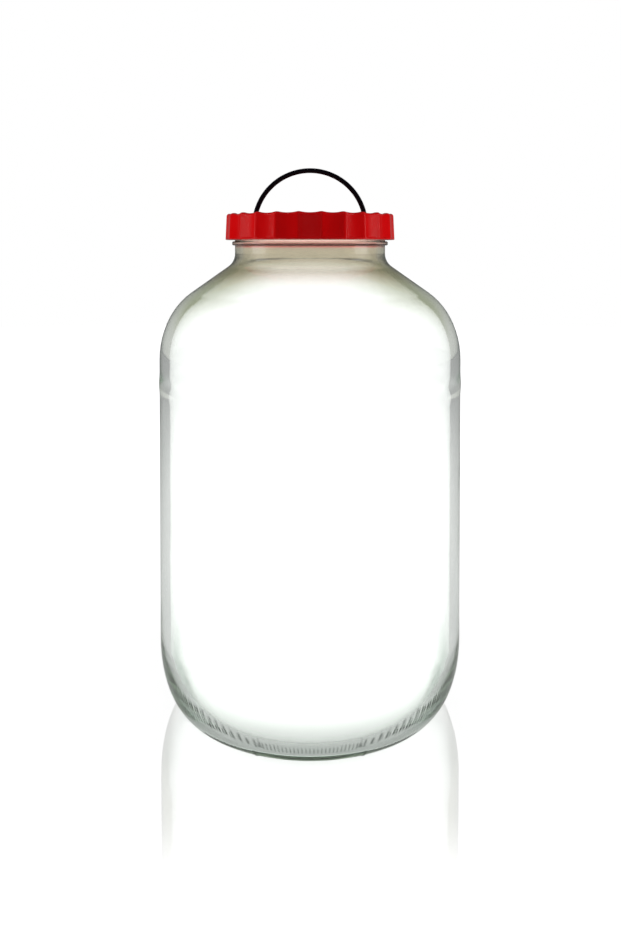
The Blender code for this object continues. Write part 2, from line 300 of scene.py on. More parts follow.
def glass_profile():
    """The glass as one outline (r, z), from the middle of its floor up inside and down outside.

    The floor falls with the square of its radius, and the push-up under it falls to the ring in a
    smooth step besides. The contact band swells by the squared sine of its height. The rest is lines
    and arcs of ellipses and circles.
    """
    inner = BODY_RADIUS - BODY_WALL
    bore = NECK_RADIUS - NECK_WALL
    heel = inner - INNER_HEEL_RUN
    ring = FOOT_RADIUS - FOOT_WIDTH
    rim = GLASS_TOP - RIM_ROUND
    bead = FINISH - BEAD_HEIGHT
    hollow = bead - HOLLOW_DROP
    soft = BEAD_SWELL / 2
    dome = PUSH_UP + FLOOR_THICKNESS - FLOOR_EDGE
    share = np.linspace(0, 1, 7)
    floor = np.column_stack([heel * share, PUSH_UP + FLOOR_THICKNESS - dome * share ** 2])
    share = np.linspace(1, 0, 11)
    under = PUSH_UP - dome * share ** 2 - (PUSH_UP - dome) * smooth(share, 0, DOME_SHARE)
    push_up = np.column_stack([ring * share, under])
    inside = shoulder(inner, SHOULDER_RUN - BODY_WALL, SHOULDER_RISE - BODY_WALL, bore,
                      NECK_FILLET + NECK_WALL, 11, 7)
    outside = shoulder(BODY_RADIUS, SHOULDER_RUN, SHOULDER_RISE, NECK_RADIUS, NECK_FILLET, 12, 8)
    band = np.linspace(BAND_BOTTOM + BAND_HEIGHT, BAND_BOTTOM, 9)
    bulge = np.sin(np.pi * np.linspace(0, 1, 9)) ** 2
    contact = np.column_stack([BODY_RADIUS + BAND_SWELL * bulge, band])
    return joined(
        floor,
        arc((heel, FLOOR_EDGE + INNER_HEEL_RISE), (INNER_HEEL_RUN, INNER_HEEL_RISE), -90, 0, 13),
        line((inner, FLOOR_EDGE + INNER_HEEL_RISE), inside[0], 2, hold=1.5 * MM),
        inside,
        line(inside[-1], (bore, rim), 2, hold=0.4 * MM),
        round_arc((bore + RIM_ROUND, rim), RIM_ROUND, 180, 90, 5),
        round_arc((NECK_RADIUS - RIM_ROUND, rim), RIM_ROUND, 90, 0, 5),
        line((NECK_RADIUS, rim), (NECK_RADIUS, FINISH + FINISH_FILLET), 17),
        round_arc((NECK_RADIUS + FINISH_FILLET, FINISH + FINISH_FILLET), FINISH_FILLET, 180, 270, 3),
        round_arc((NECK_RADIUS + soft, FINISH - soft), soft, 90, 0, 5),
        round_arc((NECK_RADIUS + soft, bead + soft), soft, 0, -85, 6),
        round_arc((NECK_RADIUS + BEAD_HOLLOW, hollow), BEAD_HOLLOW, 90, 180, 6),
        line((NECK_RADIUS, hollow), outside[-1], 2, hold=0.5 * MM),
        outside[::-1],
        line(outside[0], contact[0], 2, hold=1.0 * MM),
        contact,
        line(contact[-1], (BODY_RADIUS, HEEL_RISE), 2, hold=1.5 * MM),
        arc((FOOT_RADIUS, HEEL_RISE), (HEEL_RUN, HEEL_RISE), 0, -90, 15),
        line((FOOT_RADIUS, 0), (ring, 0), 4),
        push_up,
    )


def knurl(r, angles):
    """The knurl's bars, and the painted shade between them, both from 0 to 1.

    A bar is a raised cosine of the turn, inside a band whose middle radius and width go over smoothly
    from the front to the sides. The painted shade is 1 in the middle of a groove and falls as the cosine
    rises.
    At the sides every other groove is shaded, and more broadly.
    """
    aside = np.abs(np.cos(angles))
    climb = smooth(aside, *CLIMB_FROM_TO)
    half = KNURL_HALF_WIDTH * (1 - KNURL_NARROWING * climb)
    off = np.abs(r - KNURL_RADIUS - KNURL_CLIMB * climb)
    band = 1 - smooth(off, half - MM, half)
    bars = raised(KNURL_BARS * angles)
    fine = np.clip(1 - bars / FINE_WIDTH, 0, 1)
    coarse = np.clip(1 - raised(KNURL_BARS / 2 * angles) / COARSE_WIDTH, 0, 1)
    sides = smooth(aside, *COARSE_FROM_TO)
    return bars * band, (FINE_STRENGTH * fine * (1 - sides) + coarse * sides) * band


def nibs(r, z, angles):
    """The nibs' height, from 0 to 1: wedges in the turn that narrow outwards and sink as the heel rises."""
    width = np.degrees(NIB_HALF_WIDTH / FOOT_RADIUS)
    width = width * (1 - NIB_TAPER * np.clip((r - FOOT_RADIUS) / NIB_REACH, 0, 1))
    wedge = np.zeros((len(r), len(angles)))
    for turn in NIB_TURNS:
        off = np.abs(np.mod(np.degrees(angles) + 90 - turn + 180, 360) - 180)
        wedge = np.maximum(wedge, np.clip(NIB_STEEPNESS * (1 - off / width), 0, 1))
    return wedge * (z < NIB_TOP) * smooth(r, FOOT_RADIUS, FOOT_RADIUS + NIB_RISE) * (1 - z / NIB_TOP)


def glass_grid():
    """The outline turned round the axis, with the thread, the knurl bars and the seam nibs raised on it.

    The second result is painted shade: how far each point lies in a groove between two bars or on a nib, in
    front.
    """
    profile, angles = glass_profile(), around(JAR_COLUMNS)
    r, z = profile[:, :1], profile[:, 1:]
    outer = np.arange(len(profile))[:, None] > int(np.argmax(profile[:, 1]))
    thread = helix(z, angles, THREAD_BOTTOM, GLASS_THREAD_HEIGHT) * (outer & (z > FINISH))
    thread = thread * smooth(z, FINISH, FINISH + THREAD_CLEAR)
    thread = thread * (1 - smooth(z, GLASS_TOP - RIM_ROUND, GLASS_TOP))
    heel = outer & (z < KNURL_TOP)
    bars, marks = knurl(r, angles)
    nib = nibs(r, z, angles) * outer
    # painted shade only in the front half, fading out towards the sides
    shaded_front = (angles > np.pi) * (1 - smooth(np.abs(np.cos(angles)), *SHADE_FADE_FROM_TO))
    grooves = np.maximum(marks * heel, nib) * shaded_front
    return turned(r + thread + NIB_HEIGHT * nib, z + KNURL_HEIGHT * bars * heel, angles), grooves


def flute_angles():
    """Angles round the lid, closer together at the ridges: the way across a flute is sin(90 t)."""
    t = -1 + 2 * np.arange(FLUTE_STEPS) / FLUTE_STEPS
    across = np.sin(np.pi / 2 * t)
    centres = np.arange(FLUTES)[:, None]
    angles = (centres + across / 2) * 2 * np.pi / FLUTES
    return angles.ravel(), np.tile(across, FLUTES)


def flute_wave(across):
    """1 in the middle of a flute and 0 on a ridge: a parabola whose last stretch turns level."""
    way = np.abs(across)
    bend = RIDGE_SHARE / (1 - RIDGE_SHARE)
    past = np.clip(way - RIDGE_SHARE, 0, None)
    inner = np.minimum(way, RIDGE_SHARE)
    return 1 - (inner ** 2 + 2 * inner * past - bend * past ** 2) / RIDGE_SHARE


def lid_profile():
    """Rows of the lid: radius, height, share of the flutes and share of the scallops.

    They run from the middle of the panel out over the rim, down the skirt, up the bore and back
    under the panel. Along a stretch each share goes over in a smooth step between its two ends.
    """
    bottom, lip = LID_LOW.z, LID_LOW.z + LIP_HEIGHT
    step, top = PANEL_TOP + PANEL_STEP, PANEL_TOP + RECESS_DEPTH
    corner, rim = RECESS_RADIUS - RECESS_FILLET, RECESS_RADIUS + RECESS_DRAFT
    crest, edge = RIDGE_TOP - LID_SHOULDER, LID_BORE - PANEL_FILLET
    hold = 0.5 * MM
    panel = joined(
        line((0, step), (BOSS_RADIUS, step), 3),
        line((BOSS_RADIUS + BOSS_SLOPE, PANEL_TOP), (DISC_RADIUS, PANEL_TOP), 4, hold),
        line((DISC_RADIUS + DISC_SLOPE, step), (corner, step), 3, hold),
        round_arc((corner, step + RECESS_FILLET), RECESS_FILLET, -90, 0, 6),
    )
    under = joined(
        round_arc((edge, PANEL_UNDER - PANEL_FILLET), PANEL_FILLET, 0, 90, 5),
        line((edge, PANEL_UNDER), (0, PANEL_UNDER), 4, hold),
    )
    # points, flutes from and to, scallops from and to
    stretches = [
        (panel, 0, 0, 0, 0),
        (line((RECESS_RADIUS, step + RECESS_FILLET), (rim, top - LID_ROUND), 3, hold), 0, 0, 0, 1),
        (round_arc((rim + LID_ROUND, top - LID_ROUND), LID_ROUND, 180, 90, 5), 0, 0, 1, 1),
        (line((rim + LID_ROUND, top), (crest, top), 4), 0, 1, 1, 1),
        (round_arc((crest, top - LID_SHOULDER), LID_SHOULDER, 90, 0, 9), 1, 1, 1, 1),
        (line((RIDGE_TOP, top - LID_SHOULDER), (RIDGE_BOTTOM, lip + FLUTE_FADE), 8, hold), 1, 1, 1, 0),
        (line((RIDGE_BOTTOM, lip + FLUTE_FADE), (RIDGE_BOTTOM, lip), 5), 1, 0, 0, 0),
        (round_arc((RIDGE_BOTTOM - LID_ROUND, bottom + LID_ROUND), LID_ROUND, 0, -90, 6), 0, 0, 0, 0),
        (line((RIDGE_BOTTOM - LID_ROUND, bottom), (LID_BORE + LID_ROUND, bottom), 3, hold), 0, 0, 0, 0),
        (round_arc((LID_BORE + LID_ROUND, bottom + LID_ROUND), LID_ROUND, -90, -180, 5), 0, 0, 0, 0),
        (line((LID_BORE, bottom + LID_ROUND), (LID_BORE, PANEL_UNDER - PANEL_FILLET), 22), 0, 0, 0, 0),
        (under, 0, 0, 0, 0),
    ]
    rows = []
    for points, flute_from, flute_to, scallop_from, scallop_to in stretches:
        ease = smooth(np.linspace(0, 1, len(points)), 0, 1)
        flute = flute_from + (flute_to - flute_from) * ease
        scallop = scallop_from + (scallop_to - scallop_from) * ease
        rows.append(np.column_stack([points, flute, scallop]))
    rows = np.concatenate(rows)
    return rows[apart(rows[:, :2])]


def lid_grid():
    """The lid's rows turned round the axis: flutes press the skirt in and scallops drop the rim."""
    rows = lid_profile()
    angles, across = flute_angles()
    wave = flute_wave(across)
    r, z, flute, scallop = (rows[:, i:i + 1] for i in range(4))
    order = np.arange(len(rows))[:, None]
    lowest = int(np.argmin(rows[:, 1]))
    # the upright rows of the bore, which come after the foot of the skirt
    bore = (order > lowest + 4) & (np.abs(r - LID_BORE) < 0.01 * MM)
    under = THREAD_BOTTOM - 2 * THREAD_HALF_WIDTH - THREAD_SLACK + THREAD_LEAD / THREAD_STARTS
    thread = helix(z, angles, under, LID_THREAD_HEIGHT) * bore
    thread = thread * smooth(z, LID_LOW.z + LID_ROUND, LID_LOW.z + LID_ROUND + MM)
    return turned(r - FLUTE_DEPTH * flute * wave - thread, z - SCALLOP_DROP * scallop * wave, angles)


def ear_grid(side):
    """An upright plate with a round head and a bore, as rings about the pivot.

    Rays from the pivot meet the head's circle, a flank that is tangent to it, or the base, whichever
    is nearest. The rings go from the bore over the near face, round the edge and back on the far face.
    Towards the panel the outer rings flare out by a falling exponential of the height.
    """
    drop = PIVOT[2] - (PANEL_TOP - EAR_SINK)
    phi = around(EAR_SIDES)
    least = 0.05
    tangent = math.acos(EAR_HEAD / math.hypot(drop, EAR_HALF_BASE)) - math.atan2(drop, EAR_HALF_BASE)
    way = np.arctan2(np.sin(phi), np.abs(np.cos(phi)))
    to_flank = EAR_HEAD / np.maximum(np.cos(way - tangent), least)
    to_base = drop / np.maximum(-np.sin(phi), least)
    outer = np.where(way >= tangent, EAR_HEAD, np.minimum(to_flank, to_base))
    # half way round an edge both ways are 1 - cos 45 degrees of its radius, about 0.3, short of the end
    half, bit = EAR_THICKNESS / 2, 0.3 * EAR_ROUND
    edge = ((0.0, half - EAR_ROUND), (bit, half - bit), (EAR_ROUND, half))
    # radius, way from the middle of the plate, and whether the ring flares
    rings = [(EAR_HOLE + out, x, 0) for out, x in edge]
    rings += [(outer - back, x, 1) for back, x in reversed(edge)]
    grid = []
    for sign, ladder in ((1, rings), (-1, rings[::-1])):
        for rho, x, flares in ladder:
            y, z = rho * np.cos(phi), rho * np.sin(phi)
            flare = flares * EAR_FLARE * np.exp(-np.clip(z + drop - EAR_SINK, 0, None) / EAR_FLARE_HEIGHT)
            grid.append(np.stack([sign * (x + flare) + side * (EAR_NEAR + half), y, PIVOT[2] + z], axis=-1))
    return np.array(grid)


def bail_path():
    """The wire's middle line as (x, z): foot, bend, round arc, bend and foot."""
    lean = math.degrees(math.atan2(BAIL_DROP + BAIL_BEND, BEND_X))
    bow = round_arc((0, PIVOT[2] - BAIL_DROP), BAIL_RADIUS, lean, 180 - lean, 121)
    turn = round_arc((BEND_X, PIVOT[2] + BAIL_BEND), BAIL_BEND, 270, 180 + lean, 12)
    foot = line((FOOT_END - WIRE_END_ROUND, PIVOT[2]), (BEND_X, PIVOT[2]), 6)
    right = joined(foot, turn)
    left = right[::-1] * (-1, 1)
    return joined(right, bow, left)


def bail_grid():
    """Rings square to the middle line, with the ends drawn in over a quarter circle."""
    path = bail_path()
    ahead = np.gradient(path, axis=0)
    ahead /= np.linalg.norm(ahead, axis=1)[:, None]
    dome = np.radians(np.linspace(90, 15, 5))
    # the first and the last end, each from the path outwards: points, radii and directions
    ends = []
    for at, way in ((0, -1), (-1, 1)):
        out = path[at] + way * WIRE_END_ROUND * np.outer(np.cos(dome), ahead[at])
        radii = WIRE_RADIUS - WIRE_END_ROUND + WIRE_END_ROUND * np.sin(dome)
        ends.append((np.append(out, out[-1:], axis=0), np.append(radii, 0), np.tile(ahead[at], (6, 1))))
    whole = (path, np.full(len(path), WIRE_RADIUS), ahead)
    points, sizes, ways = (np.concatenate([ends[0][i][::-1], whole[i], ends[1][i]]) for i in range(3))
    v = around(WIRE_SIDES)
    across = np.column_stack([ways[:, 1], -ways[:, 0]])
    x = points[:, :1] + sizes[:, None] * across[:, :1] * np.cos(v)
    z = points[:, 1:] + sizes[:, None] * across[:, 1:] * np.cos(v)
    y = sizes[:, None] * np.sin(v)
    return np.stack([x, -y, z], axis=-1)


def liner_profile():
    """The liner's half section: a flat disc with slightly rounded edges."""
    low, high, flat = LINER_LOW.z, LINER_HIGH.z, LINER_HIGH.x - LINER_ROUND
    return joined(
        line((0, high), (flat, high), 5, hold=0.5 * MM),
        round_arc((flat, high - LINER_ROUND), LINER_ROUND, 90, 0, 4),
        round_arc((flat, low + LINER_ROUND), LINER_ROUND, 0, -90, 4),
        line((flat, low), (0, low), 5, hold=0.5 * MM),
    )


class Sums:
    """Number nodes of one tree: each method adds a node and gives its output."""

    def __init__(self, tree):
        self.tree = tree
        self.path = tree.nodes.new("ShaderNodeLightPath").outputs

    def put(self, socket, value):
        """Give a socket a plain number, a colour or another node's output."""
        if isinstance(value, (int, float)):
            socket.default_value = value
        elif isinstance(value, tuple):
            socket.default_value = (*value, 1.0)
        else:
            self.tree.links.new(value, socket)

    def do(self, operation, first, second, third=0.5):
        """The operation on two values; a third is how near the two of a comparison must be."""
        made = self.tree.nodes.new("ShaderNodeMath")
        made.operation = operation
        for socket, value in zip(made.inputs, (first, second, third)):
            self.put(socket, value)
        return made.outputs[0]

    def times(self, first, second):
        """The product of two values."""
        return self.do("MULTIPLY", first, second)

    def plus(self, first, second):
        """The sum of two values."""
        return self.do("ADD", first, second)

    def more(self, value, limit):
        """1 where a value is over the limit."""
        return self.do("GREATER_THAN", value, limit)

    def equals(self, value, wanted):
        """1 where a whole number has the wanted value."""
        return self.do("COMPARE", value, wanted)

    def ease(self, value, start, stop, low=0.0, high=1.0):
        """low before start, high after stop, and a smooth step between."""
        made = self.tree.nodes.new("ShaderNodeMapRange")
        made.interpolation_type = "SMOOTHSTEP"
        for key, level in (("From Min", start), ("From Max", stop), ("To Min", low), ("To Max", high)):
            made.inputs[key].default_value = level
        self.put(made.inputs["Value"], value)
        return made.outputs["Result"]

    def blend(self, share, yes, no):
        """A colour: no where the share is 0, and yes where it is 1."""
        made = self.tree.nodes.new("ShaderNodeMix")
        made.data_type = "RGBA"
        self.put(made.inputs[0], share)
        colours = [socket for socket in made.inputs if socket.type == "RGBA"]
        for socket, colour in zip(colours, (no, yes)):
            self.put(socket, colour)
        return next(socket for socket in made.outputs if socket.type == "RGBA")

    def pick(self, flag, yes, no):
        """yes where the flag is 1, and no where it is 0."""
        made = self.tree.nodes.new("ShaderNodeMix")
        self.put(made.inputs["Factor"], flag)
        self.put(made.inputs["A"], no)
        self.put(made.inputs["B"], yes)
        return made.outputs["Result"]


class Finish:
    """A material whose nodes are added one by one and joined by name."""

    def __init__(self, name):
        self.material = bpy.data.materials.new(name)
        self.material.use_nodes = True
        self.tree = self.material.node_tree
        self.shader = self.tree.nodes["Principled BSDF"]
        self.output = self.tree.nodes["Material Output"]

    def node(self, kind, **settings):
        """A new node of a kind, with its settings."""
        made = self.tree.nodes.new(kind)
        for key, value in settings.items():
            setattr(made, key, value)
        return made

    def join(self, source, target):
        """Lead an output into a socket."""
        self.tree.links.new(source, target)

    def set(self, **values):
        """Give the shader's sockets plain values or outputs; an underscore stands for a space."""
        for key, value in values.items():
            socket = self.shader.inputs[key.replace("_", " ")]
            if isinstance(value, bpy.types.NodeSocket):
                self.join(value, socket)
            else:
                socket.default_value = (*value, 1.0) if isinstance(value, tuple) else value

    def place(self):
        """Where a point is on its object."""
        return self.node("ShaderNodeTexCoord").outputs["Object"]

    def distance(self, middle):
        """How far a point is from a middle on its object."""
        made = self.node("ShaderNodeVectorMath", operation="DISTANCE")
        self.join(self.place(), made.inputs[0])
        made.inputs[1].default_value = middle
        return made.outputs["Value"]

    def noise(self, scale, detail, roughness=0.5):
        """Cloudy noise from 0 to 1, of so many clouds a metre."""
        made = self.node("ShaderNodeTexNoise")
        made.inputs["Scale"].default_value = scale
        made.inputs["Detail"].default_value = detail
        made.inputs["Roughness"].default_value = roughness
        self.join(self.place(), made.inputs["Vector"])
        return made.outputs["Fac"]

    def ramp(self, source, *stops):
        """Colours in place of a value: each stop is a value from 0 to 1 with its colour."""
        made = self.node("ShaderNodeValToRGB")
        ends = made.color_ramp.elements
        while len(ends) < len(stops):
            ends.new(0.5)
        for end, (at, colour) in zip(ends, stops):
            end.position = at
            end.color = (*colour, 1.0)
        self.join(source, made.inputs["Fac"])
        return made.outputs["Color"]

    def tinted(self, colour, share, tint):
        """The colour where the share is 0, and the colour times the tint where it is 1."""
        made = self.node("ShaderNodeMix", data_type="RGBA", blend_type="MULTIPLY")
        self.join(share, made.inputs[0])
        colours = [socket for socket in made.inputs if socket.type == "RGBA"]
        self.join(colour, colours[0])
        colours[1].default_value = (*tint, 1.0)
        return next(socket for socket in made.outputs if socket.type == "RGBA")

    def stretch(self, source, span, result):
        """A value of one span carried over to another, in proportion and no further."""
        made = self.node("ShaderNodeMapRange")
        for key, value in zip(("From Min", "From Max", "To Min", "To Max"), (*span, *result)):
            made.inputs[key].default_value = value
        self.join(source, made.inputs["Value"])
        return made.outputs["Result"]

    def bump(self, height, distance, strength, over=None):
        """The surface's direction with a height raised on it, over another bump if given."""
        made = self.node("ShaderNodeBump")
        made.inputs["Distance"].default_value = distance
        made.inputs["Strength"].default_value = strength
        self.join(height, made.inputs["Height"])
        if over:
            self.join(over, made.inputs["Normal"])
        return made.outputs["Normal"]

    def surface(self, share, first, second):
        """End in the first shader where the share is 0, and in the second where it is 1."""
        mixed = self.node("ShaderNodeMixShader")
        self.join(share, mixed.inputs["Fac"])
        self.join(first, mixed.inputs[1])
        self.join(second, mixed.inputs[2])
        self.join(mixed.outputs["Shader"], self.output.inputs["Surface"])


# the span that most values of a noise lie in
NOISE_SPAN = (0.3, 0.7)
# glass: tints by height, which are partly its own tint, partly painted shade in the neck and a painted
# reflection of the lid in the bead; gloss by height; and what its thickness and its shadow take away
GLASS_TINTS_SHADE_AND_LID_REFLECTION = (
    (0.0, (0.98, 0.99, 0.98)),
    (0.030, (0.99, 1.0, 0.99)),
    (0.075, (1.0, 1.0, 1.0)),
    (0.2940, (1.0, 1.0, 1.0)),
    # from the shoulder's top up the neck: darker olive, partly the thick glass's own tint and partly painted
    # shade
    (0.2976, (0.97, 0.96, 0.95)),
    (0.3025, (0.87, 0.82, 0.79)),
    (0.3045, (0.74, 0.68, 0.63)),
    (0.3075, (0.65, 0.59, 0.525)),
    (0.312, (0.625, 0.58, 0.49)),
    (0.3241, (0.64, 0.60, 0.512)),
    # the bead and the glass under the skirt: a painted reflection of the red lid
    (0.3247, (1.0, 0.80, 0.74)),
    (0.3252, (0.42, 0.03, 0.02)),
    (0.3266, (0.42, 0.03, 0.02)),
    (0.3272, (0.80, 0.56, 0.50)),
    (0.3282, (1.0, 0.86, 0.80)),
    (0.3296, (1.0, 0.55, 0.49)),
    (0.3306, (0.88, 0.86, 0.82)),
)
# painted shade where neck and heel are seen edge on: tint, heights where it comes, heights where it goes, and
# facing
PAINTED_EDGE_SHADES = (
    ((0.46, 0.47, 0.34), (0.262, 0.310), (0.322, 0.308), (0.40, 0.64)),
    ((0.20, 0.26, 0.22), (0.004, 0.018), (0.058, 0.022), (0.50, 0.76)),
)
PAINTED_GROOVE_SHADE = (0.015, 0.03, 0.02)
GLOSS_HEIGHTS, GLASS_ROUGHNESS = (0.285, 0.312), (0.025, 0.10)
ABSORPTION_COLOUR, ABSORPTION_DENSITY = (0.42, 0.62, 0.48), 9.0
SHADOW_CLEAR = 0.85
# lid, wire and foam: darkest and lightest colour, and lowest and highest roughness
LID_REDS, LID_ROUGHNESS = ((0.58, 0.0010, 0.0018), (0.62, 0.0018, 0.0028)), (0.15, 0.22)
WIRE_BLACK, WIRE_ROUGHNESS = (0.0026, 0.0018, 0.0040), (0.38, 0.52)
FOAM_WHITES, FOAM_ROUGHNESS = ((0.76, 0.75, 0.70), (0.84, 0.83, 0.79)), 0.75
FOAM_CELLS = 1400.0


def glass_finish():
    """Pale green glass, a little waved, with a softer gloss in the neck.

    The tint by height is partly the glass's own pale tint and partly painted shade that darkens the thick
    neck to olive; in the bead it is a painted reflection of the lid's red. Neck and heel get more painted
    shade where they are seen edge on. Between the knurl's bars and on the nibs, painted shade darkens rays
    that leave the glass, in front. Most of a shadow ray goes straight through.
    """
    f = Finish("pale_green_glass")
    sums = Sums(f.tree)
    axes = f.node("ShaderNodeSeparateXYZ")
    f.join(f.place(), axes.inputs[0])
    z = axes.outputs["Z"]
    height = f.stretch(z, (0.0, GLASS_TOP), (0.0, 1.0))
    # tint by height, with painted shade in the neck and a painted reflection of the lid in the bead
    colour = f.ramp(height, *((at / GLASS_TOP, tint) for at, tint in GLASS_TINTS_SHADE_AND_LID_REFLECTION))
    facing = f.node("ShaderNodeLayerWeight").outputs["Facing"]
    # painted shade on neck and heel where they are seen edge on
    for tint, rise, fall, edge in PAINTED_EDGE_SHADES:
        share = sums.times(sums.times(sums.ease(z, *rise), sums.ease(z, *fall)), sums.ease(facing, *edge))
        colour = f.tinted(colour, share, tint)
    # painted shade between the knurl's bars and on the nibs, only for rays that leave the glass
    grooves = f.node("ShaderNodeAttribute", attribute_name="grooves").outputs["Fac"]
    leaving = f.node("ShaderNodeNewGeometry").outputs["Backfacing"]
    f.set(IOR=1.52, Transmission_Weight=1.0,
          Base_Color=f.tinted(colour, sums.times(grooves, leaving), PAINTED_GROOVE_SHADE),
          Roughness=f.stretch(z, GLOSS_HEIGHTS, GLASS_ROUGHNESS),
          Normal=f.bump(f.noise(scale=14.0, detail=2.0), distance=0.6 * MM, strength=0.3))
    body = f.node("ShaderNodeVolumeAbsorption")
    body.inputs["Color"].default_value = (*ABSORPTION_COLOUR, 1.0)
    body.inputs["Density"].default_value = ABSORPTION_DENSITY
    f.join(body.outputs["Volume"], f.output.inputs["Volume"])
    clear = f.node("ShaderNodeBsdfTransparent")
    share = sums.times(sums.path["Is Shadow Ray"], SHADOW_CLEAR)
    f.surface(share, f.shader.outputs["BSDF"], clear.outputs["BSDF"])
    return f.material


def lid_finish():
    """Moulded red plastic: a slight mottle in colour and gloss, and a fine moulded skin."""
    f = Finish("moulded_red_plastic")
    mottle = f.noise(scale=55.0, detail=4.0, roughness=0.6)
    broad = f.bump(f.noise(scale=40.0, detail=2.0), distance=0.25 * MM, strength=0.3)
    f.set(IOR=1.49, Specular_IOR_Level=0.36,
          Base_Color=f.ramp(mottle, *zip(NOISE_SPAN, LID_REDS)),
          Roughness=f.stretch(f.noise(scale=120.0, detail=3.0), NOISE_SPAN, LID_ROUGHNESS),
          Normal=f.bump(f.noise(scale=1400.0, detail=2.0), distance=0.012 * MM, strength=0.25, over=broad))
    return f.material


def wire_finish():
    """Black dipped coating on steel wire: a low orange-peel skin and a satin gloss."""
    f = Finish("black_coated_wire")
    f.set(IOR=1.5, Specular_IOR_Level=0.14, Base_Color=WIRE_BLACK,
          Roughness=f.stretch(f.noise(scale=300.0, detail=3.0), NOISE_SPAN, WIRE_ROUGHNESS),
          Normal=f.bump(f.noise(scale=700.0, detail=2.0), distance=0.02 * MM, strength=0.4))
    return f.material


def foam_finish():
    """Off-white foam sheet with its fine open cells."""
    f = Finish("white_foam_sheet")
    cells = f.node("ShaderNodeTexVoronoi")
    cells.inputs["Scale"].default_value = FOAM_CELLS
    f.join(f.place(), cells.inputs["Vector"])
    f.set(Roughness=FOAM_ROUGHNESS,
          Base_Color=f.ramp(f.noise(scale=90.0, detail=4.0), *zip(NOISE_SPAN, FOAM_WHITES)),
          Normal=f.bump(cells.outputs["Distance"], distance=0.06 * MM, strength=0.5))
    return f.material


def build_object():
    """All the pieces, each on its body and in place of its node."""
    # the second grid is painted shade between the knurl's bars and on the nibs
    grid, grooves = glass_grid()
    glass = skin("jar_glass", grid, marks={"grooves": grooves})
    piece("jar_glass", glass, glass_finish(), "jar", "glass_jar")
    red = lid_finish()
    piece("lid_cap", skin("lid_cap", lid_grid()), red, "lid", "screw_lid")
    for side, name in ((-1, "lid_ear_left"), (1, "lid_ear_right")):
        piece(name, skin(name, ear_grid(side), poles=False), red, "lid", "screw_lid")
    disc = liner_profile()
    liner = turned(disc[:, :1], disc[:, 1:], around(LINER_SIDES))
    piece("seal_liner", skin("seal_liner", liner), foam_finish(), "liner", "lid_liner")
    piece("bail_wire", skin("bail_wire", bail_grid()), wire_finish(), "bail", "bail_handle")


# the studio: strengths of what each kind of ray meets, 1 being white, and the ways over which they change
FLOOR_RADIUS, FLOOR_SIDES, FLOOR_DROP = 3.2, 96, 0.2 * MM
FLOOR_COLOUR = (0.70, 0.70, 0.695)
SEEN_WAY, SEEN_LEVELS = (0.30, 1.20), (0.71, 1.0)
# painted light under the jar and painted shadow towards the front of its foot, for rays through both walls
UNDER_WAY, UNDER_LEVELS = (0.070, 0.120), (1.45, 1.05)
DIM_MIDDLE, DIM_WAY, DIM_SHARES = (0.0, 0.060, 0.0), (0.077, 0.155), (0.0, 0.80)
DIM_END_WAY = (0.100, 0.128)
# painted grey shade on the floor for rays still within the glass
WITHIN_WAY, WITHIN_LEVELS = (0.088, 0.112), (0.19, 0.31)
MIRROR_WAY, MIRROR_SHARES = (0.155, 0.236), (0.42, 0.0)
ROOM_LEVEL, ROOM_TOP = 0.10, 0.20
FRONT_LEVEL, SIDE_LEVEL, BACK_LEVEL, CEILING_LEVEL = 0.01, 0.30, 0.12, 0.06
SIDE_START_WAY, SIDE_END_WAY, BACK_WAY, CEILING_WAY = (-0.30, -0.12), (0.16, 0.28), (0.70, 0.82), (0.45, 0.75)
THROUGH_LEVEL = 1.35
TONE_WAY, WITHIN_TONE, WITHIN_HIGH_TONE = (0.0, 0.35), (0.76, 0.76, 0.73), (0.50, 0.53, 0.40)
WHITE = (1.0, 1.0, 1.0)
# transmission depths past the first face of the glass, and past all four faces of its two walls
ONE_FACE, FOUR_FACES = 0.5, 3.5
# panels that face the jar: turn from the front, width, height, power, and whether gloss shows them
PANELS = {
    "soft_left": (-82.0, 0.50, 0.50, 8.0, False),
    "soft_right": (82.0, 0.50, 0.50, 8.0, False),
    "strip_left": (-82.0, 0.50, 0.90, 2.2, True),
    "strip_right": (82.0, 0.50, 0.90, 2.2, True),
    "soft_front": (0.0, 0.50, 0.50, 0.9, False),
}
PANEL_DISTANCE, PANEL_HEIGHT = 1.1, 0.61
LIGHT_BOUNCES = 40


